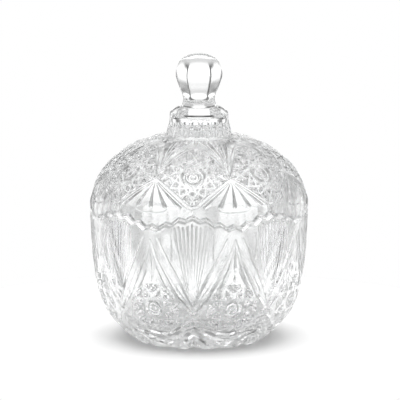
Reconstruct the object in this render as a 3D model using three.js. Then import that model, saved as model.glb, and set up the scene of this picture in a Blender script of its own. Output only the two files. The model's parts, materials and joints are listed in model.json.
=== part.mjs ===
// A covered powder jar of cut glass: a round bowl and a domed lid that lifts straight off.
// Millimetres, +Z up. The origin is the centre of the foot, and the front is towards -Y.
import * as THREE from 'three';

// Driving dimensions.
const bodyRadius = 57.5;
const wall = 5.6;
const footRadius = 34.4;
const floorTop = 9;
const rimHeight = 69.6;
const domeTop = 108.3;
const collarRadius = 15.2;
const collarTop = 120.6;
const hollowRadius = 12.4;
const knobNeckRadius = 8.2;
const knobRadius = 12.5;
const totalHeight = 151;

// The rim that bowl and lid share: eight scallops, each with six saw teeth.
const scallops = 8;
const scallopAmplitude = 2.5;
const teethPerScallop = 6;
const toothAmplitude = 0.85;
const rimGap = 0.4;

// The foot's edge has a narrow arch under each scallop's crest and a wide, low one between crests.
const narrowArchHeight = 1.4;
const wideArchHeight = 0.5;
const footRingWidth = 4.4;
const undersideRecess = 1;

// The knob has six hollow panels.
const knobPanels = 6;
const knobPanelDepth = 0.12;

// Two columns for each saw tooth, so that every peak and notch lies on a column.
const columns = 2 * scallops * teethPerScallop;

// Ways a row of the profile leaves the plain circle, each as a function of the angle from the front.
const plain = () => ({ lift: 0, swell: 1 });

const toothed = (angle, column) => {
  const scallop = scallopAmplitude * Math.cos(scallops * angle);
  const tooth = toothAmplitude * (column % 2 === 0 ? 1 : -1);
  return { lift: scallop + tooth, swell: 1 };
};

const arched = (angle) => {
  const wave = Math.cos(scallops * angle);
  const narrow = Math.max(0, (wave - 0.6) / 0.4);
  const wide = Math.max(0, -wave);
  return { lift: narrowArchHeight * narrow + wideArchHeight * wide, swell: 1 };
};

const panelled = (depth) => (angle) => {
  const hollow = 0.5 * (1 + Math.cos(knobPanels * angle));
  return { lift: 0, swell: 1 - depth * hollow };
};

// One row of a profile, and the rows along a smooth curve through a few points.
const row = (radius, height, shape = plain) => ({ radius, height, shape });

function curve(points, steps, shape = plain) {
  const line = new THREE.SplineCurve(points.map(([r, z]) => new THREE.Vector2(r, z)));
  return line.getPoints(steps).map((p) => row(Math.max(p.x, 0), p.y, shape));
}

// Turns the rows about Z into one closed body, with each row bent by its own shape.
function turned(rows) {
  const profile = rows.map((r) => new THREE.Vector2(r.radius, r.height));
  const geometry = new THREE.LatheGeometry(profile, columns);
  const position = geometry.getAttribute('position');
  for (let column = 0; column <= columns; column += 1) {
    const angle = (2 * Math.PI * (column % columns)) / columns;
    rows.forEach((r, index) => {
      const { lift, swell } = r.shape(angle, column);
      const radius = r.radius * swell;
      const vertex = column * rows.length + index;
      position.setXYZ(vertex, radius * Math.sin(angle), r.height + lift, radius * Math.cos(angle));
    });
  }
  geometry.rotateX(Math.PI / 2);
  geometry.computeVertexNormals();
  return geometry;
}

function glass(name) {
  return new THREE.MeshStandardMaterial({
    name,
    color: 0xf3f6f7,
    roughness: 0.05,
    metalness: 0,
    transparent: true,
    opacity: 0.45,
  });
}

// The bowl: an arched foot ring, a rounded outer wall, the toothed rim, and the hollow inside.
function jar() {
  const ringInner = footRadius - footRingWidth;
  const underside = [
    row(0, undersideRecess),
    row(ringInner - 1, undersideRecess),
    row(ringInner, 0),
    row(footRadius, 0),
    row(footRadius + 1.2, 0.5, arched),
  ];
  const outside = curve(
    [
      [footRadius + 4.2, 3.4],
      [44.8, 9.8],
      [50.4, 17.4],
      [53.9, 28],
      [56.3, 44],
      [bodyRadius, rimHeight - 6],
    ],
    9,
  );
  const rim = [
    row(bodyRadius, rimHeight - rimGap / 2, toothed),
    row(bodyRadius - wall, rimHeight - rimGap / 2, toothed),
  ];
  const inside = curve(
    [
      [bodyRadius - wall, rimHeight - 6],
      [bodyRadius - wall - 1.3, 44],
      [47.9, 28],
      [42, 16.5],
      [31, 10.4],
      [0, floorTop],
    ],
    9,
  );
  const mesh = new THREE.Mesh(turned([...underside, ...outside, ...rim, ...inside]), glass('jar'));
  mesh.name = 'jar';
  return mesh;
}

// The lid: the toothed rim, a dome, a collar and a panelled knob, hollow up into the collar.
function lid() {
  const rim = [
    row(bodyRadius - wall, rimHeight + rimGap / 2, toothed),
    row(bodyRadius, rimHeight + rimGap / 2, toothed),
  ];
  const dome = curve(
    [
      [56.8, 75.4],
      [54.3, 84],
      [49.8, 91.2],
      [42.8, 97.8],
      [34.4, 103.3],
      [24, domeTop - 1.1],
    ],
    8,
  );
  const collar = [
    row(collarRadius + 2.2, domeTop + 0.3),
    row(collarRadius + 1.5, domeTop + 3.2),
    row(collarRadius + 0.3, domeTop + 8),
    row(collarRadius, collarTop - 1.4),
    row(collarRadius - 0.8, collarTop + 0.4),
    row(collarRadius - 2.8, collarTop + 1.7),
    row(knobNeckRadius + 1.6, collarTop + 2.8),
  ];
  const knob = [
    row(knobNeckRadius, collarTop + 6.2),
    ...curve(
      [
        [knobNeckRadius + 0.7, collarTop + 8.8],
        [knobRadius - 1.5, collarTop + 14],
        [knobRadius, collarTop + 19.4],
        [knobRadius - 1.5, collarTop + 24.6],
      ],
      4,
      panelled(knobPanelDepth),
    ),
    row(8.9, totalHeight - 2.8, panelled(knobPanelDepth / 3)),
    row(5.2, totalHeight - 0.8),
    row(0, totalHeight),
  ];
  const hollow = [
    row(0, collarTop - 1.8),
    row(hollowRadius - 1.3, collarTop - 2.5),
    row(hollowRadius, collarTop - 4.3),
    row(hollowRadius, collarTop - 11.2),
    row(hollowRadius + 1, collarTop - 14.8),
    ...curve(
      [
        [17, 103.2],
        [29.5, 99.2],
        [39.2, 93],
        [46, 85.6],
        [50.6, 76.6],
      ],
      7,
    ),
  ];
  const rows = [...rim, ...dome, ...collar, ...knob, ...hollow, rim[0]];
  const mesh = new THREE.Mesh(turned(rows), glass('lid'));
  mesh.name = 'lid';
  return mesh;
}

const powderJar = new THREE.Group();
powderJar.add(jar(), lid());

export default powderJar;
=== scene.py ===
# A covered powder jar of clear cut glass, on a round white table top in soft light.
import json
import math

import bmesh
import bpy
import numpy as np
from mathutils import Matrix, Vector
from mathutils.geometry import delaunay_2d_cdt

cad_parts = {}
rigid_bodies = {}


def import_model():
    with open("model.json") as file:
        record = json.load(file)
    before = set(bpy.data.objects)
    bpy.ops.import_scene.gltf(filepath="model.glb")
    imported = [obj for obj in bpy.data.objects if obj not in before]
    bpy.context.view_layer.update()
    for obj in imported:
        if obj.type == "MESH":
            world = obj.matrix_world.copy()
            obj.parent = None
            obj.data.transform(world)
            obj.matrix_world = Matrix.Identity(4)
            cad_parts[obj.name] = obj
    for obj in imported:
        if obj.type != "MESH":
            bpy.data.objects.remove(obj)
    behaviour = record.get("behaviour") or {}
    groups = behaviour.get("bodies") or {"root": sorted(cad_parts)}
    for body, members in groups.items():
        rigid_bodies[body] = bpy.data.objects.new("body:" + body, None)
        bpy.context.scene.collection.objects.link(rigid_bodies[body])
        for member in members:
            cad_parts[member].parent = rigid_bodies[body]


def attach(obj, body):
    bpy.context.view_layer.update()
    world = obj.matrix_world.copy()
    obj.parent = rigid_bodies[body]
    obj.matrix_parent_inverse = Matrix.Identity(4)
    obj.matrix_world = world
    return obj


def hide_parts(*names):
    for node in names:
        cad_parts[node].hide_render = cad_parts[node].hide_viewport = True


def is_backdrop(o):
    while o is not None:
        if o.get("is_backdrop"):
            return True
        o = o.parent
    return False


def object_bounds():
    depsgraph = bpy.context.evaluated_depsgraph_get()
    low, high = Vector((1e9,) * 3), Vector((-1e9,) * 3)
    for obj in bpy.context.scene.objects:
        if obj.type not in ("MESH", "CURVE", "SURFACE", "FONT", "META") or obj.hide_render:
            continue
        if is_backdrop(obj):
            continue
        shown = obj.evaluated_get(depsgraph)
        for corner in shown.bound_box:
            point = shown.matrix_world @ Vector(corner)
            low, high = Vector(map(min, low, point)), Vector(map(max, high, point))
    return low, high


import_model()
cad_low, cad_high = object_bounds()

# Sizes are in millimetres and angles in degrees, in the part's frame, unless a comment says
# otherwise. The pattern repeats every SECTOR degrees and mirrors about the middle of a sector, so
# half a sector is made, and is then mirrored and repeated.
MM = 0.001
SECTORS = 8
SECTOR = 360 / SECTORS
HALF = SECTOR / 2

# The driving sizes. CLEAR keeps the glass just inside the CAD model's box.
CLEAR = 0.01
BODY_RADIUS = round(cad_high[0] / MM, 3) - CLEAR
TOP = round(cad_high[2] / MM, 3) - CLEAR
WALL = 5.6
FLOOR_TOP = 9.0
COLLAR_RADIUS = 15.2
COLLAR_TOP = 120.6
NECK_RADIUS = 8.2
KNOB_RADIUS = 12.5

# The toothed rims, and the heights from which the walls stretch to meet them.
RIM_HEIGHT = 69.6
RIM_GAP = 0.4
RIM_BEVEL = 0.95
RIM_DEPTH = 1.6
SCALLOP = 2.5
TOOTH = 0.85
TEETH = 48
JAR_STRETCH_FROM = 62
LID_STRETCH_FROM = 78

# The foot ring. It rises FOOT_ARCH under a scallop's crest and FOOT_DIP under a dip, where the
# pattern's wave, from -1 to 1, is past ARCH_FROM or below 0. The rise fades out over FOOT_FADE.
FOOT_RADIUS = 34.4
FOOT_RING = 4.4
FOOT_BEVEL = 1.2
FOOT_EDGE = 0.5
FOOT_ARCH = 1.4
FOOT_DIP = 0.5
ARCH_FROM = 0.6
FOOT_FADE = 3

# The recess and the shallow star under the foot, measured in from the ring.
UNDERSIDE = 1.0
UNDER_BEVEL = 0.9
UNDER_EDGE = 1.2
UNDER_STAR_EDGE = 2
UNDER_STAR_SLOPE = 0.32
UNDER_STEPS = 9

# Round-topped flutes in the foot of the collar, and the small disc that closes the collar's top.
FLUTE_FOOT = 108.3
FLUTE_FADE = 0.8
FLUTE_TOP = 111.0
FLUTE_WIDTH = 2.9
FLUTE_DEPTH = 1.1
CAP_RADIUS = 5

# The stars. A star's lines join places STAR_SPAN degrees apart on its circle, and are left uncut,
# each twice WIDTH across. Its ground is hatched by two sets of grooves a PITCH apart, and fades out
# over STAR_EDGE on the jar.
STAR_SPAN = 135
STAR_EDGE = 1.0
HATCH_TURN = 45
HATCH_SLOPE = 1.3
LINE_SLOPE = 1.7
JAR_STAR_HEIGHT = 24.4
JAR_STAR_RADIUS = 14.0
JAR_STAR_LINES = 8
JAR_STAR_PITCH = 1.9
JAR_STAR_WIDTH = 0.5
LID_STAR_UP = 29.3
LID_STAR_RADIUS = 17.5
LID_STAR_LINES = 12
LID_STAR_PITCH = 2.4
LID_STAR_WIDTH = 0.32

# The hub's turned rings: places as shares of its radius, and the depth there.
HUB = [(0, 0.1), (0.16, 0.25), (0.26, 0.85), (0.38, 0.85), (0.5, 0.2), (0.58, 0.12),
       (0.68, 0.65), (0.82, 0.85), (0.94, 0.25), (1, 0.02)]

# The knob's six slightly hollow panels, which fade in and out between (height, share) places.
KNOB_PANELS = 6
KNOB_TURN = 3.5
KNOB_HOLLOW = 0.02
KNOB_RIDGE = 0.98
KNOB_FADE = [(125.4, 0), (131, 1), (139, 1), (150.8, 0)]

# How finely curves and surfaces are divided: columns in half a sector, steps along outlines and
# lines, and FILL between the points that fill the gaps. A line loses points that are CLOSE together
# or bend less than BEND, and stays BORDER away from an outline's ends. A cut's edges are at least
# HAIR from its middle, and its ends are rounder where they are more than BROAD.
COLUMNS = 24
FINE = 0.26
MEDIUM = 0.6
COARSE = 2.2
COLLAR_STEP = 0.4
KNOB_STEP = 1.5
LINE_STEP = 2.2
STAR_STEP = 0.25
CHECK_STEP = 0.3
CLOSE = 0.12
BEND = 0.05
HALVINGS = 7
FILL = 1.7
FILL_CLEAR = 0.6
BORDER = 0.9
HAIR = 0.03
BROAD = 0.35
SMALL_RING = 0.3
SMALL_RING_SIDES = 16
RING_SIDES = 32
HUB_SIDES = 40
STAR_SIDES = 90

# How near counts as touching: places on an outline's ends, angles at the seam (degrees), points of
# the triangulation, points that are welded and edges that are too short to keep.
AT_END = 1e-4
AT_SEAM = 0.02
SAME_PLACE = 1e-3
WELD = 2e-3
SLIVER = 1e-2

# The glass. Edges sharper than SHARP stay crisp. SATIN is the inner wall's (height, roughness), for
# points within SATIN_REACH of its outline, and KNOB_SATIN is the roughness above KNOB_FROM.
SHARP = 20
GLASS_TINT = (0.985, 0.99, 0.99, 1)
GLASS_IOR = 1.52
SATIN = [(0, 0.06), (36, 0.12), (46, 0.2), (72, 0.22), (80, 0.19), (88, 0.14), (102, 0.14),
         (120, 0.04)]
SATIN_REACH = 0.5
KNOB_SATIN = 0.13
KNOB_FROM = 123.3
PAPER_WHITE = (0.96, 0.96, 0.96, 1)

# The table top, tent and lamps, in metres and watts. The tent's ramps are (place, grey) stops: by
# height from 0 straight down to 1 straight up, and across one rib from 0 to 1.
FLOOR_RADIUS = 0.17
TENT_STRENGTH = 2.2
TENT_BANDS = [(0, 0.32), (0.25, 0.32), (0.35, 0.55), (0.42, 0.62), (0.5, 0.62), (0.57, 0.55),
              (0.63, 0.35), (0.68, 0.1), (0.8, 0.1), (0.86, 0.52), (1, 0.52)]
TENT_RIBS = 8
TENT_RIB = [(0, 0.12), (0.19, 0.12), (0.29, 1), (0.71, 1), (0.81, 0.12), (1, 0.12)]
TENT_EVEN = [(0, 1), (0.25, 1), (0.36, 0), (0.64, 0), (0.8, 1), (1, 1)]
LAMP_SIZE = 1.6
LAMP_HEIGHT = 1.0
PAST_POWER = 4.6
THROUGH_POWER = 7.4

# The camera: its direction, its distance, the width it takes in at the jar, how far its aim is from
# the jar's middle, and its lens. The image is IMAGE_WIDTH pixels wide.
CAMERA_TURN = 3.5
CAMERA_RISE = 9.45
CAMERA_AWAY = 1450
FRAME_WIDTH = 211
AIM_ABOVE_MIDDLE = -2.4
SENSOR_WIDTH = 36
IMAGE_WIDTH = 400
CLIP_START = 50


# ---------------------------------------------------------------- outlines

def spline(points, step):
    """Points about step apart on a smooth curve through (radius, height) points."""
    p = np.array(points, float)
    before = np.vstack([p[:1], p[:-2]])
    after = np.vstack([p[2:], p[-1:]])
    start, end = p[:-1], p[1:]
    leave, arrive = (end - before) / 2, (after - start) / 2
    out = [p[:1]]
    for a, b, ta, tb in zip(start, end, leave, arrive):
        count = max(2, round(float(np.linalg.norm(b - a)) / step))
        t = np.linspace(0, 1, count + 1)[1:, None]
        h00, h10 = 2 * t**3 - 3 * t**2 + 1, t**3 - 2 * t**2 + t
        h01, h11 = -2 * t**3 + 3 * t**2, t**3 - t**2
        out.append(h00 * a + h10 * ta + h01 * b + h11 * tb)
    return np.vstack(out)


def polyline(points, step):
    """Points about step apart along straight lines between points."""
    out = [np.array(points[:1], float)]
    for a, b in zip(points, points[1:]):
        count = max(1, round(math.dist(a, b) / step))
        t = np.linspace(0, 1, count + 1)[1:, None]
        out.append(np.array(a) * (1 - t) + np.array(b) * t)
    return np.vstack(out)


# The (radius, height) points of each outline. JAR_INSIDE runs from the rim down, and the others run
# from the bottom up.
JAR_OUTSIDE = [
    (FOOT_RADIUS + FOOT_BEVEL, FOOT_EDGE),
    (FOOT_RADIUS + 4.2, 3.4),
    (44.8, 9.8),
    (50.4, 17.4),
    (53.9, 28),
    (56.3, 44),
    (BODY_RADIUS, RIM_HEIGHT - 6),
    (BODY_RADIUS, RIM_HEIGHT),
]
JAR_INSIDE = [
    (BODY_RADIUS - WALL, RIM_HEIGHT),
    (BODY_RADIUS - WALL, RIM_HEIGHT - 6),
    (BODY_RADIUS - WALL - 1.3, 44),
    (47.9, 28),
    (42, 16.5),
    (31, 10.4),
    (12, FLOOR_TOP + 0.1),
    (0, FLOOR_TOP),
]
LID_OUTSIDE = [
    (BODY_RADIUS, RIM_HEIGHT),
    (56.8, 75.4),
    (54.3, 84),
    (49.8, 91.2),
    (42.8, 97.8),
    (34.4, 103.3),
    (24, 107.2),
    (20.5, 107.9),
]
COLLAR = [
    (20.5, 107.9),
    (COLLAR_RADIUS + 2.2, 108.6),
    (COLLAR_RADIUS + 1.5, 111.5),
    (COLLAR_RADIUS + 0.4, 115.3),
    (COLLAR_RADIUS + 0.2, 119.2),
    (COLLAR_RADIUS - 0.4, COLLAR_TOP),
    (COLLAR_RADIUS - 2.4, 122.1),
    (10.6, 123.2),
]
LID_INSIDE = [
    (BODY_RADIUS - WALL, RIM_HEIGHT),
    (50.6, 76.6),
    (46, 85.6),
    (39.2, 93),
    (29.5, 99.2),
    (17, 103.2),
    (13.4, 105.8),
    (12.5, 109.4),
    (12.4, 115.8),
    (11.9, 117.3),
    (10.4, 118.2),
    (6, 118.65),
    (0, COLLAR_TOP - 1.8),
]

# The knob, and its root, which is sunk into the collar's glass.
KNOB_ROOT = [(0, 121.4), (6.5, 121.4), (8.6, 122)]
KNOB = [
    (9.6, 123.4),
    (8.9, 124.5),
    (NECK_RADIUS, 126.8),
    (8.9, 129.4),
    (KNOB_RADIUS - 1.5, 134.6),
    (KNOB_RADIUS, 140),
    (KNOB_RADIUS - 1.5, 145.2),
    (8.9, 148.2),
    (5.2, TOP - 0.8),
    (2.4, TOP - 0.15),
    (0, TOP),
]


def rim_height(angle):
    """Height of the line where the two rims meet: scallops with saw teeth on them."""
    wave = SCALLOP * np.cos(np.radians(SECTORS * angle))
    phase = np.abs((angle * TEETH / 360) % 1 * 2 - 1)
    return RIM_HEIGHT + wave + TOOTH * (2 * phase - 1)


class Outline:
    """A smooth outline, asked for its shape at distances along it."""

    def __init__(self, corners):
        self.points = spline(corners, FINE)
        self.points[:, 0] = np.minimum(self.points[:, 0], BODY_RADIUS)
        steps = np.hypot(*np.diff(self.points, axis=0).T)
        self.along = np.concatenate([[0], np.cumsum(steps)])
        self.length = self.along[-1]
        slope = np.gradient(self.points, axis=0)
        self.slopes = slope / np.linalg.norm(slope, axis=1)[:, None]

    def radius(self, along):
        return np.interp(along, self.along, self.points[:, 0])

    def height(self, along):
        return np.interp(along, self.along, self.points[:, 1])

    def slope(self, along):
        """The outline's direction, as a unit (outward, upward) step."""
        return [np.interp(along, self.along, self.slopes[:, k]) for k in (0, 1)]

    def reach(self, height):
        """The distance along at which the outline has a height."""
        return np.interp(height, self.points[:, 1], self.along)


class Chart:
    """A flat map, in millimetres, of the surface round a line of constant angle."""

    def __init__(self, outline, middle, start=0.0):
        self.outline = outline
        self.middle = middle
        self.start = start

    def local(self, angle, along):
        """The (x, y) on the map of a place on the surface."""
        across = self.outline.radius(along) * np.radians(angle - self.middle)
        return across, along - self.start

    def place(self, x, y):
        """The (angle, along) place on the surface of a point on the map."""
        along = y + self.start
        return self.middle + np.degrees(x / self.outline.radius(along)), along


# ---------------------------------------------------------------- cuts

class Cut:
    """A V-shaped cut with round ends, along a path of (angle, along) places. Its half-widths are
    spread evenly over the path, and its walls have one slope."""

    def __init__(self, chart, path, widths, slope):
        self.chart = chart
        self.slope = slope
        places = np.array(path, float)
        self.path = np.stack(chart.local(places[:, 0], places[:, 1]), axis=1)
        spread = np.linspace(0, 1, len(widths))
        self.widths = np.interp(np.linspace(0, 1, len(path)), spread, widths)

    def depth(self, angle, along):
        x, y = self.chart.local(angle, along)
        depth = np.zeros_like(x)
        for a, b, wa, wb in zip(self.path, self.path[1:], self.widths, self.widths[1:]):
            run = b - a
            t = np.clip(((x - a[0]) * run[0] + (y - a[1]) * run[1]) / run.dot(run), 0, 1)
            away = np.hypot(x - a[0] - t * run[0], y - a[1] - t * run[1])
            depth = np.maximum(depth, wa + t * (wb - wa) - away)
        return self.slope * depth

    def lines(self):
        """The bottom of the cut, and its outline with round ends."""
        path = polyline([tuple(p) for p in self.path], LINE_STEP)
        far = np.concatenate([[0], np.cumsum(np.hypot(*np.diff(self.path, axis=0).T))])
        near = np.concatenate([[0], np.cumsum(np.hypot(*np.diff(path, axis=0).T))])
        width = np.maximum(np.interp(near, far, self.widths), HAIR)[:, None]
        run = np.gradient(path, axis=0)
        run /= np.linalg.norm(run, axis=1)[:, None]
        side = run[:, ::-1] * [-1, 1]
        left, right = path + side * width, path - side * width
        start = self.cap(path[0], -run[0], width[0])
        end = self.cap(path[-1], run[-1], width[-1])
        loop = np.vstack([left, end, right[::-1], start, left[:1]])
        return [self.chart.place(*path.T), self.chart.place(*loop.T)]

    def cap(self, middle, way, width):
        """Points round one end of the cut, from its left to its right."""
        side = np.array([-way[1], way[0]])
        turns = np.radians([45, 90, 135] if width > BROAD else [90])
        return np.array([middle + width * (side * math.cos(a) + way * math.sin(a)) for a in turns])


def deepest(cuts, angle, along):
    """The depth of the deepest of the cuts at each place."""
    return np.max([c.depth(angle, along) for c in cuts], axis=0)


def edge(inside, width):
    """From 0 outside to 1 inside a boundary, over width millimetres."""
    return np.clip(inside / width, 0, 1)


def circle(radius, count):
    """Points round a circle, with the first one repeated at the end."""
    turn = np.linspace(0, 2 * math.pi, count + 1)
    return np.stack([radius * np.sin(turn), -radius * np.cos(turn)], axis=1)


class Hobstar:
    """A star of uncut lines on a hatched ground, round a hub of turned rings."""

    def __init__(self, chart, radius, count, pitch, width):
        self.chart = chart
        self.turns = [math.tau * k / count for k in range(count)]
        self.radius = radius
        self.pitch = pitch
        self.width = width
        self.near = radius * math.cos(math.radians(STAR_SPAN / 2))
        self.hub = self.near - width

    def depth(self, angle, along):
        x, y = self.chart.local(angle, along)
        depth = np.zeros_like(x)
        for way in (0, 90):
            turn = math.radians(way + HATCH_TURN)
            across = (x * math.cos(turn) + y * math.sin(turn)) / self.pitch
            groove = 0.5 - np.abs((across + 0.5) % 1 - 0.5)
            depth = np.maximum(depth, HATCH_SLOPE * self.pitch * groove)
        clear = np.full_like(x, self.radius)
        for turn in self.turns:
            off = np.abs(x * math.cos(turn) + y * math.sin(turn) - self.near)
            clear = np.minimum(clear, off - self.width)
        depth = np.minimum(depth, LINE_SLOPE * np.maximum(clear, 0))
        away = np.hypot(x, y)
        return np.where(away < self.hub, np.interp(away / self.hub, *zip(*HUB)), depth)

    def lines(self):
        """The rings of the hub, and outside it both edges of each line and the ground's lines."""
        rings = []
        for share, _ in HUB[1:-1]:
            sides = SMALL_RING_SIDES if share < SMALL_RING else RING_SIDES
            rings.append(circle(self.hub * share, sides))
        rings.append(circle(self.hub, HUB_SIDES))
        lines = []
        for turn in self.turns:
            lines += [self.straight(turn, self.near + off) for off in (-self.width, self.width)]
        outside = []
        for line in lines + self.hatching():
            outside += kept(line, lambda a, s: np.hypot(*self.chart.local(a, s)) > self.hub)
        return [self.chart.place(*ring.T) for ring in rings], outside

    def hatching(self):
        """The bottoms and crests of the ground's grooves, and the diagonals between them."""
        half = self.pitch / 2
        diagonal = self.pitch / math.sqrt(2)
        count = int(self.radius / half) + 1
        lines = []
        for way in (0, 90):
            turn = math.radians(way + HATCH_TURN)
            lines += [self.straight(turn, half * k) for k in range(-count, count + 1)]
            turn += math.pi / 4
            lines += [self.straight(turn, diagonal * k) for k in range(-count, count + 1)]
        return lines

    def straight(self, turn, off):
        """A line across the whole star, square to a direction and so far from the middle."""
        run = np.linspace(-self.radius, self.radius, int(self.radius / STAR_STEP))
        x = off * math.cos(turn) - run * math.sin(turn)
        y = off * math.sin(turn) + run * math.cos(turn)
        return self.chart.place(x, y)


def kept(line, inside):
    """The stretches of a line that lie inside, cut off where they leave."""
    angle, along = line
    fine = refined(np.stack([angle, along], axis=1))
    good = inside(fine[:, 0], fine[:, 1])
    out, run = [], []
    for k, point in enumerate(fine):
        if k and good[k] != good[k - 1]:
            a, b = (fine[k - 1], point) if good[k - 1] else (point, fine[k - 1])
            for _ in range(HALVINGS):
                middle = (a + b) / 2
                if inside(middle[0], middle[1]):
                    a = middle
                else:
                    b = middle
            run.append(a)
            if good[k - 1]:
                out.append(run)
                run = []
        if good[k]:
            run.append(point)
    out.append(run)
    return [tuple(thinned(np.array(r)).T) for r in out if len(r) > 1]


def refined(points):
    """The same line with its points at most CHECK_STEP apart."""
    out = [points[:1]]
    for a, b in zip(points, points[1:]):
        count = max(1, math.ceil(math.dist(a, b) / CHECK_STEP))
        t = np.linspace(0, 1, count + 1)[1:, None]
        out.append(a * (1 - t) + b * t)
    return np.vstack(out)


def thinned(points):
    """The same line with only the points that its shape needs."""
    keep = [0]
    for k in range(1, len(points) - 1):
        last = points[keep[-1]]
        if math.dist(points[k], last) < CLOSE:
            continue
        ahead = points[k + 1] - points[k]
        behind = points[k] - last
        bend = abs(ahead[0] * behind[1] - ahead[1] * behind[0])
        bend /= np.linalg.norm(ahead) * np.linalg.norm(behind) + 1e-9
        if bend > BEND or math.dist(points[k], last) > LINE_STEP:
            keep.append(k)
    keep.append(len(points) - 1)
    return points[keep]


def polygon_holds(x, y, corners):
    """Whether places lie inside a polygon."""
    inside = np.zeros(np.shape(x), bool)
    for (ax, ay), (bx, by) in zip(corners, corners[1:] + corners[:1]):
        crosses = (ay > y) != (by > y)
        with np.errstate(divide="ignore", invalid="ignore"):
            at = (bx - ax) * (y - ay) / (by - ay + 1e-12) + ax
        inside ^= crosses & (x < at)
    return inside


# ---------------------------------------------------------------- the jar's pattern

# Spots on the jar are degrees from the scallop's crest and millimetres of height. Each cut is given
# by its spots, its half-widths along them and its slope.
jar_outline = Outline(JAR_OUTSIDE)
jar_crest = Chart(jar_outline, 0)
jar_dip = Chart(jar_outline, HALF)

# How far apart the fan's flutes are, in degrees, at each height.
FAN_SHAPE = [(25, 0.0), (38, 0.95), (50, 1.65), (67.6, 2.3)]
FAN_WIDTHS = [0.05, 0.34, 0.58, 0.8]
FAN_SLOPE = 0.8
FAN_FLUTES = 5


def jar_cut(chart, spots, widths, slope):
    path = [(angle, float(jar_outline.reach(height))) for angle, height in spots]
    return Cut(chart, path, widths, slope)


def jar_straps():
    """Two broad cuts side by side that slant from the rim's dips down to below the fan."""
    inner = [(18.5, 62.5), (12.5, 50), (9, 44), (0, 27)]
    outer = [(22.4, 61.2), (19, 51), (15, 43), (8, 31), (0, 22.5)]
    return [
        jar_cut(jar_crest, inner, [0.6, 0.95, 0.85], 0.95),
        jar_cut(jar_crest, outer, [0.6, 1.05, 0.95], 0.95),
    ]


def jar_fan():
    """Flutes that spread from the straps' crossing up to the rim."""
    fan = []
    for k in range(FAN_FLUTES):
        spots = [(k * wide, height) for height, wide in FAN_SHAPE]
        fan.append(jar_cut(jar_crest, spots, FAN_WIDTHS, FAN_SLOPE))
    return fan


def jar_leaves():
    """Slim cuts beside the fan and the straps, and in the gusset above the star."""
    beside_fan = [(10.9, 50.8), (10.6, 55), (10.8, 61), (11.2, 65.8)]
    beside_strap = [(21.0, 53.5), (19.4, 45.5), (16.2, 38.8), (11.4, 32.2)]
    between_straps = [(16, 48.6), (7.5, 35), (3.0, 28.9)]
    return [
        jar_cut(jar_crest, beside_fan, [0.75, 0.45, 0.2], 0.8),
        jar_cut(jar_crest, beside_strap, [0.05, 1.25, 1.1, 0.1], 0.7),
        jar_cut(jar_dip, [(22.5, 59), (22.5, 45.4)], [0.1, 1.0], 0.75),
        jar_cut(jar_dip, [(21.9, 56.5), (19.5, 46.2)], [0.05, 0.7], 0.75),
        jar_cut(jar_dip, [(22.5, 43.2), (22.5, 39.9)], [0.2, 0.8], 0.75),
        jar_cut(jar_crest, between_straps, [0.1, 0.4, 0.1], 0.6),
    ]


def jar_foot():
    """Arched cuts one under another round the foot, and two small round ones. The first cut is the
    star's lower edge."""
    first = [(0, 19.4), (5, 17.3), (10, 13.9), (15, 11.0), (22.5, 9.6)]
    second = [(0, 15.6), (6, 11.4), (13, 7.6), (22.5, 5.4)]
    third = [(0, 10.6), (5, 7.2), (10, 3.4)]
    return [
        jar_cut(jar_dip, first, [0.9, 1.0, 1.1], 0.7),
        jar_cut(jar_crest, second, [1.0, 1.2, 1.4], 0.7),
        jar_cut(jar_crest, third, [1.0, 1.2], 0.7),
        jar_cut(jar_dip, [(22.5, 2.6), (16, 5.4)], [1.1, 0.5], 0.7),
        jar_cut(jar_crest, [(0, 5.4), (3.4, 2.4)], [0.9, 0.8], 0.7),
        jar_cut(jar_crest, [(3.1, 22.1), (3.5, 21.1)], [1.0], 0.9),
        jar_cut(jar_crest, [(1.2, 17.2), (1.5, 16.2)], [0.6], 1.2),
    ]


def jar_pattern():
    """The depth of the jar's pattern at any place, and the lines that its creases follow."""
    straps, fan, leaves, foot = jar_straps(), jar_fan(), jar_leaves(), jar_foot()
    round_star = straps + foot[:1]
    beside_star = fan + leaves + foot[1:]
    middle = Chart(jar_outline, HALF, float(jar_outline.reach(JAR_STAR_HEIGHT)))
    star = Hobstar(middle, JAR_STAR_RADIUS, JAR_STAR_LINES, JAR_STAR_PITCH, JAR_STAR_WIDTH)

    def in_star(angle, along):
        clear = deepest(round_star, angle, along) <= 0
        return clear & (np.hypot(*middle.local(angle, along)) < JAR_STAR_RADIUS)

    def depth(angle, along):
        cut = deepest(round_star + beside_star, angle, along)
        away = np.hypot(*middle.local(angle, along))
        ground = star.depth(angle, along) * edge(JAR_STAR_RADIUS - away, STAR_EDGE)
        return np.where(in_star(angle, along), ground, cut)

    lines = []
    for c in round_star:
        lines += c.lines()
    for c in beside_star:
        for line in c.lines():
            lines += kept(line, lambda a, s: ~in_star(a, s))
    rings, ground = star.lines()
    for radius in (JAR_STAR_RADIUS, JAR_STAR_RADIUS - STAR_EDGE):
        rings.append(middle.place(*circle(radius, STAR_SIDES).T))
    for line in rings + ground:
        lines += kept(line, lambda a, s: deepest(round_star, a, s) <= 0)
    return depth, lines


# ---------------------------------------------------------------- the lid's pattern

# Spots on the lid are degrees from the scallop's crest and millimetres up the dome from the height
# LID_START, as if it went on straight down to there. DIAMOND is the edge of the star's panel, which
# goes on to PAST_CREST, beyond the mirror line.
LID_START = 66.0
DIAMOND = [(0, 12.8), (2.2, 13.4), (22.5, 28.3), (13, 41.8), (6, 48.3), (0, 50.3)]
PAST_CREST = -9

# The petals gather to one point under a panel's corner, and the rays to one above it.
PETAL_FROM = 25.2
PETAL_GATHER = 0.08
RAY_FROM = 30.4
RAY_GATHER = 0.04
RAY_RISE = 0.42
RAY_WIDTHS = [0.1, 1.9]
RAY_SLOPE = 1.15

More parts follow.
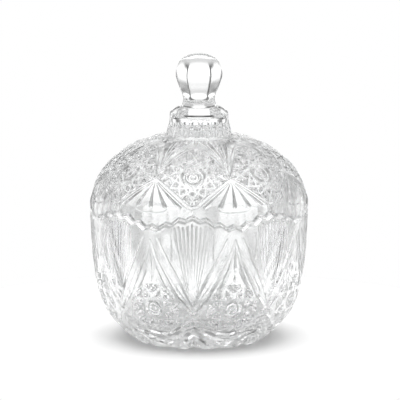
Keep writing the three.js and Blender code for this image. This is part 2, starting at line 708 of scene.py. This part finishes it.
lid_outline = Outline(LID_OUTSIDE)
lid_crest = Chart(lid_outline, 0)
lid_corner = Chart(lid_outline, HALF)


def lid_path(spots):
    """Spots on the lid as (angle, along) places."""
    return [(angle, up - (RIM_HEIGHT - LID_START)) for angle, up in spots]


def lid_cut(chart, spots, widths, slope):
    return Cut(chart, lid_path(spots), widths, slope)


def lid_straps():
    """Narrow cuts that follow the panel outside its border."""
    return [
        lid_cut(lid_crest, [(0, 10.6), (2.8, 11.6), (20.6, 25.2)], [0.4, 0.35], 0.7),
        lid_cut(lid_crest, [(20.4, 33.5), (16, 42.3), (8, 49.4), (0, 52.4)], [0.3, 0.4], 0.7),
    ]


def lid_petals():
    """Petals that hang from the panel's corner, with a thin cut across their foot."""
    petals = []
    for end in ((22.5, 12.6), (14.6, 12.6)):
        start = (HALF + (end[0] - HALF) * PETAL_GATHER, PETAL_FROM)
        petals.append(lid_cut(lid_corner, [start, end], [0.1, 1.25], 0.8))
    side = [(21.2, 25.0), (9.5, 14.8), (6.4, 12.2)]
    petals.append(lid_cut(lid_corner, side, [0.1, 0.9, 1.0], 0.8))
    across = [(22.5, 9.6), (15, 9.8), (13.4, 11.2)]
    petals.append(lid_cut(lid_corner, across, [0.35, 0.3], 0.7))
    return petals


def lid_rays():
    """Broad rays that spread from the panel's corner up to the collar, and one above the panel."""
    rays = []
    for end in ((22.5, 59.5), (15.3, 59.2), (8.1, 59.6)):
        start = (HALF + (end[0] - HALF) * RAY_GATHER, RAY_FROM + (HALF - end[0]) * RAY_RISE)
        rays.append(lid_cut(lid_corner, [start, end], RAY_WIDTHS, RAY_SLOPE))
    rays.append(lid_cut(lid_crest, [(0, 55.2), (0, 60.2)], [0.9, 1.2], 0.9))
    return rays


def lid_pattern():
    """The depth of the lid's pattern at any place, and the lines that its creases follow."""
    border = [lid_cut(lid_crest, DIAMOND, [0.6], 0.9)]
    cuts = border + lid_straps() + lid_petals() + lid_rays()
    middle = Chart(lid_outline, 0, LID_STAR_UP - (RIM_HEIGHT - LID_START))
    star = Hobstar(middle, LID_STAR_RADIUS, LID_STAR_LINES, LID_STAR_PITCH, LID_STAR_WIDTH)
    inner = lid_path(DIAMOND)
    corners = [(PAST_CREST, inner[0][1])] + inner + [(PAST_CREST, inner[-1][1])]

    def in_panel(angle, along):
        return polygon_holds(angle, along, corners) & (deepest(border, angle, along) <= 0)

    def depth(angle, along):
        cut = deepest(cuts, angle, along)
        return np.where(in_panel(angle, along), star.depth(angle, along), cut)

    lines = []
    for c in cuts:
        lines += c.lines()
    rings, ground = star.lines()
    for line in rings + ground:
        lines += kept(line, in_panel)
    return depth, lines


# ---------------------------------------------------------------- meshes

def columns():
    """The angles of the columns of points in half a sector."""
    return np.linspace(0, HALF, COLUMNS + 1)


class Shell:
    """The points and faces of half a sector, added piece by piece."""

    def __init__(self):
        self.points = []
        self.faces = []

    def add_points(self, angle, radius, height):
        """Adds points, and gives the number of the first."""
        first = sum(len(p) for p in self.points)
        turn = np.radians(angle)
        places = np.stack([radius * np.sin(turn), -radius * np.cos(turn), height], axis=1)
        self.points.append(places)
        return first

    def add_rows(self, rows):
        """Rows of (radius, height) points, one for each column, joined in order."""
        previous = None
        for row in rows:
            first = self.add_points(columns(), row[:, 0], row[:, 1])
            if previous is not None:
                for k in range(COLUMNS):
                    a, b, c, d = previous + k, previous + k + 1, first + k + 1, first + k
                    self.faces += [(a, b, c), (a, c, d)]
            previous = first

    def add_patch(self, outline, depth_of, lines, place):
        """The outline's surface, triangulated so that its edges follow the given lines, cut to its
        depth, and moved by place(angle, height)."""
        angle, along, triangles = triangulated(outline, lines)
        depth = depth_of(angle, along)
        at_end = (along < AT_END) | (along > outline.length - AT_END)
        depth = np.where(at_end, 0, depth)
        out, up = outline.slope(along)
        radius = outline.radius(along) - depth * up
        height = outline.height(along) + depth * out
        first = self.add_points(angle, radius, place(angle, height))
        self.faces += [tuple(int(first + v) for v in t) for t in triangles]

    def mesh(self, name):
        mesh = bpy.data.meshes.new(name)
        mesh.from_pydata(np.vstack(self.points).tolist(), [], self.faces)
        return mesh


def triangulated(outline, lines):
    """Places and triangles over half a sector of an outline, with edges along the lines."""
    length = outline.length
    points, edges = [], []

    def chain(chained):
        first = len(points)
        points.extend((float(a), float(s)) for a, s in chained)
        edges.extend((k, k + 1) for k in range(first, len(points) - 1))

    def inside(angle, along):
        return (angle >= 0) & (angle <= HALF) & (along > BORDER) & (along < length - BORDER)

    for along in (0, length):
        chain([(angle, along) for angle in columns()])
    for angle in (0, HALF):
        chain([(angle, along) for along in np.linspace(0, length, round(length / FILL) + 1)])
    for line in lines:
        for angle, along in kept(line, inside):
            chain(zip(on_seam(angle), along))

    # Points between the lines, staggered on rows a fill apart, where no line is near.
    taken = np.array(points)
    for k, along in enumerate(np.arange(FILL, length - FILL / 2, FILL)):
        radius = outline.radius(along)
        count = max(3, round(radius * math.radians(HALF) / FILL))
        for angle in (np.arange(count) + (0.25 if k % 2 else 0.75)) * HALF / count:
            away = np.hypot((taken[:, 0] - angle) * math.radians(radius), taken[:, 1] - along)
            if away.min() > FILL * FILL_CLEAR:
                points.append((float(angle), float(along)))
    out = delaunay_2d_cdt([Vector(p) for p in points], edges, [], 0, SAME_PLACE, False)
    place = np.array([v[:] for v in out[0]])
    angle = on_seam(place[:, 0])
    triangles = np.array(out[2])
    flat = (angle[triangles] == 0).all(axis=1) | (angle[triangles] == HALF).all(axis=1)
    return angle, place[:, 1], triangles[~flat]


def on_seam(angle):
    """Angles with those that all but touch the edge of the half sector moved onto it."""
    return np.where(angle < AT_SEAM, 0, np.where(angle > HALF - AT_SEAM, HALF, angle))


def grid_rows(points, rim=None, start=None):
    """Rows of an outline's points at every column, stretched from start up to the toothed rim, if
    they have a start."""
    rows = []
    for radius, level in points:
        height = np.full(COLUMNS + 1, level)
        if start is not None:
            height = stretched(columns(), height, rim, start)
        rows.append(np.stack([np.full(COLUMNS + 1, radius), height], axis=1))
    return rows


def stretched(angle, height, rim, start):
    """Heights moved so that RIM_HEIGHT meets the toothed line, offset by rim, and start stays."""
    share = np.clip((height - start) / (RIM_HEIGHT - start), 0, None)
    return height + share * (rim_height(angle) + rim - RIM_HEIGHT)


def foot_lift(angle, height):
    """How far the arched foot rises above the table."""
    wave = np.cos(np.radians(SECTORS * angle))
    arch = FOOT_ARCH * np.clip((wave - ARCH_FROM) / (1 - ARCH_FROM), 0, 1)
    lift = arch + FOOT_DIP * np.clip(-wave, 0, 1)
    return lift * np.clip(1 - (height - FOOT_EDGE) / FOOT_FADE, 0, 1)


def all_round(name, half):
    """The whole body: half a sector, mirrored and repeated."""
    points = np.array([v.co[:] for v in half.vertices])
    faces = np.array([p.vertices[:] for p in half.polygons])
    all_points, all_faces = [], []
    for k in range(SECTORS):
        turn = math.radians(SECTOR * k)
        c, s = math.cos(turn), math.sin(turn)
        spin = np.array([[c, s, 0], [-s, c, 0], [0, 0, 1]])
        for flip in (1, -1):
            base = sum(len(p) for p in all_points)
            all_points.append((points * [flip, 1, 1]) @ spin)
            all_faces.append((faces if flip == 1 else faces[:, ::-1]) + base)
    mesh = bpy.data.meshes.new(name)
    mesh.from_pydata(np.vstack(all_points).tolist(), [], np.vstack(all_faces).tolist())
    return welded(mesh)


def welded(mesh):
    """Joins the copies at their shared edges and points every face outwards."""
    bm = bmesh.new()
    bm.from_mesh(mesh)
    bmesh.ops.remove_doubles(bm, verts=bm.verts, dist=WELD)
    bmesh.ops.dissolve_degenerate(bm, edges=bm.edges, dist=SLIVER)
    bmesh.ops.recalc_face_normals(bm, faces=bm.faces)
    bm.to_mesh(mesh)
    bm.free()
    return mesh


def collar_rows():
    """Rows up the collar, with round-topped flutes cut into its foot."""
    outline = Outline(COLLAR)
    rows = []
    for along in np.linspace(0, outline.length, round(outline.length / COLLAR_STEP) + 1):
        radius, height = outline.radius(along), outline.height(along)
        across = radius * np.radians(columns() - HALF / 2)
        up = max(height - FLUTE_TOP, 0)
        away = np.hypot(across, up)
        depth = FLUTE_DEPTH * np.sqrt(np.maximum(1 - (away / FLUTE_WIDTH) ** 2, 0))
        depth *= np.clip((height - FLUTE_FOOT) / FLUTE_FADE, 0, 1)
        out, rise = outline.slope(along)
        rows.append(np.stack([radius - depth * rise, height + depth * out], axis=1))
    return rows


def rim_rows(outer, inner, offset):
    """Rows across a toothed rim, from the outer radius to the inner one."""
    height = rim_height(columns()) + offset
    radii = np.linspace(outer - RIM_DEPTH, inner + RIM_BEVEL, 3)
    return [np.stack([np.full_like(height, r), height], axis=1) for r in radii]


def under_rows(ring):
    """Rows of the star under the foot, from its middle out to the foot ring."""
    ray = np.abs((columns() / (HALF / 2) + 0.5) % 1 - 0.5) * (HALF / 2)
    rows = []
    for radius in np.linspace(0, ring - UNDER_EDGE, UNDER_STEPS):
        reach = radius * np.radians(HALF / 4 - ray)
        depth = UNDER_STAR_SLOPE * np.maximum(reach, 0) * (radius < ring - UNDER_STAR_EDGE)
        rows.append(np.stack([np.full(COLUMNS + 1, radius), UNDERSIDE + depth], axis=1))
    return rows


def jar_mesh():
    """The jar: its underside, foot ring, outside, rim and inside, in that order."""
    ring = FOOT_RADIUS - FOOT_RING
    down = -RIM_GAP / 2
    lower = down - RIM_BEVEL
    depth, lines = jar_pattern()
    shell = Shell()
    ring_inside = grid_rows([(ring - UNDER_BEVEL, UNDERSIDE), (ring, 0)])
    ring_outside = grid_rows([(FOOT_RADIUS, 0), (FOOT_RADIUS + FOOT_BEVEL, FOOT_EDGE)])
    for row in ring_outside:
        row[:, 1] += foot_lift(columns(), row[:, 1])
    shell.add_rows(under_rows(ring) + ring_inside + ring_outside)

    def place(angle, height):
        return stretched(angle, height, lower, JAR_STRETCH_FROM) + foot_lift(angle, height)

    shell.add_patch(jar_outline, depth, lines, place)
    rows = grid_rows([(BODY_RADIUS, RIM_HEIGHT)], lower, JAR_STRETCH_FROM)
    rows += rim_rows(BODY_RADIUS, BODY_RADIUS - WALL, down)
    rows += grid_rows(spline(JAR_INSIDE, COARSE), lower, JAR_STRETCH_FROM)
    shell.add_rows(rows)
    return all_round("jar_glass", shell.mesh("half jar"))


def lid_mesh():
    """The lid: its dome, collar, rim and inside, and then the knob."""
    up = RIM_GAP / 2
    upper = up + RIM_BEVEL
    depth, lines = lid_pattern()
    shell = Shell()

    def place(angle, height):
        return stretched(angle, height, upper, LID_STRETCH_FROM)

    shell.add_patch(lid_outline, depth, lines, place)
    collar = collar_rows()
    end = float(collar[-1][0, 1])
    shell.add_rows(collar + grid_rows([(CAP_RADIUS, end), (0, end)]))
    rows = grid_rows([(BODY_RADIUS, RIM_HEIGHT)], upper, LID_STRETCH_FROM)
    rows += rim_rows(BODY_RADIUS, BODY_RADIUS - WALL, up)
    rows += grid_rows(spline(LID_INSIDE, COARSE), upper, LID_STRETCH_FROM)
    shell.add_rows(rows)
    return joined(all_round("lid_glass", shell.mesh("half lid")), knob_mesh())


def knob_mesh():
    """The knob, from inside the collar's glass up to its crown, with hollow panels round it."""
    outline = np.vstack([KNOB_ROOT, spline(KNOB, MEDIUM)])
    turn = np.arange(0, 360, KNOB_STEP)
    pitch = 360 / KNOB_PANELS
    off = (turn - KNOB_TURN + pitch / 2) % pitch - pitch / 2
    flat = math.cos(math.radians(pitch / 2)) / np.cos(np.radians(off))
    panel = np.minimum(flat - KNOB_HOLLOW * (1 - (2 * off / pitch) ** 2), KNOB_RIDGE)
    angle = np.radians(turn)
    bm = bmesh.new()
    rings = []
    for radius, height in outline:
        if radius < 1e-6:
            rings.append([bm.verts.new((0, 0, height))] * len(turn))
            continue
        share = np.interp(height, *zip(*KNOB_FADE))
        share = share * share * (3 - 2 * share)
        r = radius * (1 - share * (1 - panel))
        ring = zip(r * np.sin(angle), -r * np.cos(angle))
        rings.append([bm.verts.new((x, y, height)) for x, y in ring])
    for low, high in zip(rings, rings[1:]):
        for k in range(len(turn)):
            n = (k + 1) % len(turn)
            # At the axis two corners are one point, and the face is a triangle.
            bm.faces.new(dict.fromkeys((low[k], low[n], high[n], high[k])))
    mesh = bpy.data.meshes.new("knob")
    bm.to_mesh(mesh)
    bm.free()
    return mesh


def joined(mesh, other):
    """The union of two closed meshes as one mesh."""
    scene = bpy.context.scene.collection.objects
    base, extra = (bpy.data.objects.new(m.name, m) for m in (mesh, other))
    scene.link(base)
    scene.link(extra)
    union = base.modifiers.new("union", "BOOLEAN")
    union.operation = "UNION"
    union.solver = "MANIFOLD"
    union.object = extra
    graph = bpy.context.evaluated_depsgraph_get()
    out = bpy.data.meshes.new_from_object(base.evaluated_get(graph), depsgraph=graph)
    bpy.data.objects.remove(base)
    bpy.data.objects.remove(extra)
    return out


# ---------------------------------------------------------------- materials

def new_material(name):
    """A new material, its nodes, its links and its shader."""
    material = bpy.data.materials.new(name)
    material.use_nodes = True
    tree = material.node_tree
    return material, tree.nodes, tree.links, tree.nodes["Principled BSDF"]


def add_node(nodes, kind, values):
    """A new node with the named inputs set."""
    node = nodes.new(kind)
    for name, value in values.items():
        node.inputs[name].default_value = value
    return node


def math_node(nodes, operation, value=None):
    """A node that does sums, with its second input set if a value is given."""
    node = nodes.new("ShaderNodeMath")
    node.operation = operation
    if value is not None:
        node.inputs[1].default_value = value
    return node


def grey_ramp(nodes, stops, name):
    """A colour ramp node of greys through (position, grey) stops."""
    ramp = nodes.new("ShaderNodeValToRGB")
    ramp.name = name
    elements = ramp.color_ramp.elements
    for element, (position, grey) in zip(list(elements), (stops[0], stops[-1])):
        element.position = position
        element.color = (grey, grey, grey, 1)
    for position, grey in stops[1:-1]:
        elements.new(position).color = (grey, grey, grey, 1)
    return ramp


def glass(name):
    """Clear crystal: clean facets, with the faint ripple and haze of pressed and polished glass,
    and roughness where the mesh is marked as satin."""
    material, nodes, links, shader = new_material(name)
    shader.inputs["Base Color"].default_value = GLASS_TINT
    shader.inputs["Transmission Weight"].default_value = 1
    shader.inputs["IOR"].default_value = GLASS_IOR
    place = nodes.new("ShaderNodeTexCoord")
    haze = add_node(nodes, "ShaderNodeTexNoise", {"Scale": 90, "Detail": 3})
    limits = {"From Min": 0.35, "From Max": 0.75, "To Min": 0, "To Max": 0.035}
    spread = add_node(nodes, "ShaderNodeMapRange", limits)
    ripple = add_node(nodes, "ShaderNodeTexNoise", {"Scale": 60, "Detail": 1})
    bump = add_node(nodes, "ShaderNodeBump", {"Strength": 0.05, "Distance": 0.0003})
    links.new(place.outputs["Object"], haze.inputs["Vector"])
    links.new(place.outputs["Object"], ripple.inputs["Vector"])
    links.new(haze.outputs["Fac"], spread.inputs["Value"])
    satin = nodes.new("ShaderNodeAttribute")
    satin.attribute_name = "satin"
    total = math_node(nodes, "MAXIMUM")
    links.new(satin.outputs["Fac"], total.inputs[0])
    links.new(spread.outputs["Result"], total.inputs[1])
    links.new(total.outputs["Value"], shader.inputs["Roughness"])
    links.new(ripple.outputs["Fac"], bump.inputs["Height"])
    links.new(bump.outputs["Normal"], shader.inputs["Normal"])
    return material


def paper():
    """Matt white paper for the table top."""
    material, _, _, shader = new_material("paper")
    shader.inputs["Base Color"].default_value = PAPER_WHITE
    shader.inputs["Roughness"].default_value = 0.9
    shader.inputs["Specular IOR Level"].default_value = 0.1
    return material


def mark_satin(mesh, inside):
    """Marks each point of the inner wall and the knob with the roughness of its satin polish."""
    inner = spline(inside, COARSE)
    inner = inner[np.argsort(inner[:, 1])]
    p = np.array([v.co[:] for v in mesh.vertices])
    away = np.hypot(p[:, 0], p[:, 1]) - np.interp(p[:, 2], inner[:, 1], inner[:, 0])
    satin = np.interp(p[:, 2], *zip(*SATIN))
    satin = np.where(np.abs(away) < SATIN_REACH, satin, 0)
    satin = np.where(p[:, 2] > KNOB_FROM, KNOB_SATIN, satin)
    marks = mesh.attributes.new("satin", "FLOAT", "POINT")
    marks.data.foreach_set("value", satin)


def finished(mesh, name, inside, material):
    """An object in metres of one material, smooth but for its sharp edges."""
    mark_satin(mesh, inside)
    mesh.transform(((MM, 0, 0, 0), (0, MM, 0, 0), (0, 0, MM, 0), (0, 0, 0, 1)))
    mesh.shade_smooth()
    mesh.set_sharp_from_angle(angle=math.radians(SHARP))
    mesh.materials.clear()
    mesh.materials.append(material)
    obj = bpy.data.objects.new(name, mesh)
    bpy.context.scene.collection.objects.link(obj)
    return obj


# ---------------------------------------------------------------- stage, light and camera

def floor():
    """A round white table top, wide enough to take the jar's whole shadow."""
    bm = bmesh.new()
    bmesh.ops.create_circle(bm, cap_ends=True, segments=128, radius=FLOOR_RADIUS)
    mesh = bpy.data.meshes.new("floor")
    bm.to_mesh(mesh)
    bm.free()
    mesh.materials.append(paper())
    top = bpy.data.objects.new("floor", mesh)
    bpy.context.scene.collection.objects.link(top)
    top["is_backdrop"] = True
    return top


def tent_colour(nodes, links):
    """The tent's grey in each direction: bands by height, crossed by ribs round the jar."""
    place = nodes.new("ShaderNodeTexCoord")
    split = nodes.new("ShaderNodeSeparateXYZ")
    links.new(place.outputs["Generated"], split.inputs["Vector"])

    # Height, from 0 straight down to 1 straight up.
    rise = add_node(nodes, "ShaderNodeMapRange", {"From Min": -1})
    bands = grey_ramp(nodes, TENT_BANDS, "bands")
    links.new(split.outputs["Z"], rise.inputs["Value"])
    links.new(rise.outputs["Result"], bands.inputs["Fac"])

    # Angle round the jar, once from 0 to 1 for each rib.
    turn = math_node(nodes, "ARCTAN2")
    often = math_node(nodes, "MULTIPLY", TENT_RIBS / (2 * math.pi))
    shift = math_node(nodes, "ADD", TENT_RIBS * (CAMERA_TURN + 180) / 360 + 0.5)
    once = math_node(nodes, "FRACT")
    ribs = grey_ramp(nodes, TENT_RIB, "ribs")
    links.new(split.outputs["X"], turn.inputs[0])
    links.new(split.outputs["Y"], turn.inputs[1])
    links.new(turn.outputs["Value"], often.inputs[0])
    links.new(often.outputs["Value"], shift.inputs[0])
    links.new(shift.outputs["Value"], once.inputs[0])
    links.new(once.outputs["Value"], ribs.inputs["Fac"])

    # The ribs fade out overhead and underfoot.
    even = grey_ramp(nodes, TENT_EVEN, "even")
    faded = math_node(nodes, "MAXIMUM")
    links.new(rise.outputs["Result"], even.inputs["Fac"])
    links.new(even.outputs["Color"], faded.inputs[0])
    links.new(ribs.outputs["Color"], faded.inputs[1])

    tent = nodes.new("ShaderNodeMix")
    tent.data_type = "RGBA"
    tent.blend_type = "MULTIPLY"
    tent.inputs["Factor"].default_value = 1
    links.new(bands.outputs["Color"], tent.inputs["A"])
    links.new(faded.outputs["Value"], tent.inputs["B"])
    return tent.outputs["Result"]


def studio():
    """A bright tent of light with darker bands and ribs, so that cut edges read against the white.
    The camera itself sees plain white."""
    world = bpy.data.worlds.new("tent")
    bpy.context.scene.world = world
    world.use_nodes = True
    nodes, links = world.node_tree.nodes, world.node_tree.links
    tent = nodes["Background"]
    tent.inputs["Strength"].default_value = TENT_STRENGTH
    links.new(tent_colour(nodes, links), tent.inputs["Color"])
    white = add_node(nodes, "ShaderNodeBackground", {"Strength": 1, "Color": (1, 1, 1, 1)})
    seen = nodes.new("ShaderNodeLightPath")
    choose = nodes.new("ShaderNodeMixShader")
    links.new(seen.outputs["Is Camera Ray"], choose.inputs["Fac"])
    links.new(tent.outputs["Background"], choose.inputs[1])
    links.new(white.outputs["Background"], choose.inputs[2])
    links.new(choose.outputs["Shader"], nodes["World Output"].inputs["Surface"])


def lamp(name, power):
    """A wide soft light over the table, which lights the table top only."""
    light = bpy.data.lights.new(name, "AREA")
    light.shape = "DISK"
    light.size = LAMP_SIZE
    light.energy = power
    obj = bpy.data.objects.new(name, light)
    obj.location = (0, 0, LAMP_HEIGHT)
    obj.visible_camera = False
    obj.visible_glossy = False
    obj.visible_transmission = False
    bpy.context.scene.collection.objects.link(obj)
    return obj


def overhead(top):
    """The light that falls past the jar, and the light that its glass passes on to the table."""
    lamp("past the jar", PAST_POWER)
    through = lamp("through the glass", THROUGH_POWER)
    blockers = bpy.data.collections.new("blocks the light through the glass")
    blockers.objects.link(top)
    through.light_linking.blocker_collection = blockers


def camera():
    """The photograph's view: a long lens a little above the jar, one pixel off its middle."""
    low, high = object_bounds()
    middle = Vector((0, 0, (low[2] + high[2]) / 2 + AIM_ABOVE_MIDDLE * MM))
    turn, rise = math.radians(CAMERA_TURN), math.radians(CAMERA_RISE)
    level = math.cos(rise)
    away = Vector((math.sin(turn) * level, -math.cos(turn) * level, math.sin(rise)))
    data = bpy.data.cameras.new("camera")
    data.sensor_width = SENSOR_WIDTH
    data.lens = SENSOR_WIDTH * CAMERA_AWAY / FRAME_WIDTH
    data.shift_x = 1 / IMAGE_WIDTH
    data.clip_start = CLIP_START * MM
    view = bpy.data.objects.new("camera", data)
    view.location = middle + away * CAMERA_AWAY * MM
    view.rotation_euler = (-away).to_track_quat("-Z", "Y").to_euler()
    bpy.context.scene.collection.objects.link(view)
    bpy.context.scene.camera = view


def light_paths():
    """Plain colours, and enough bounces for light to cross all four walls of the glass."""
    bpy.context.scene.view_settings.view_transform = "Standard"
    cycles = bpy.context.scene.cycles
    cycles.max_bounces = 32
    cycles.transmission_bounces = 32
    cycles.glossy_bounces = 16
    cycles.diffuse_bounces = 4


# ---------------------------------------------------------------- the scene

jar = finished(jar_mesh(), "jar_glass", JAR_INSIDE, glass("jar crystal"))
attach(jar, "jar")
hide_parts("jar")

lid = finished(lid_mesh(), "lid_glass", LID_INSIDE, glass("lid crystal"))
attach(lid, "lid")
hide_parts("lid")

top = floor()
studio()
overhead(top)
camera()
light_paths()
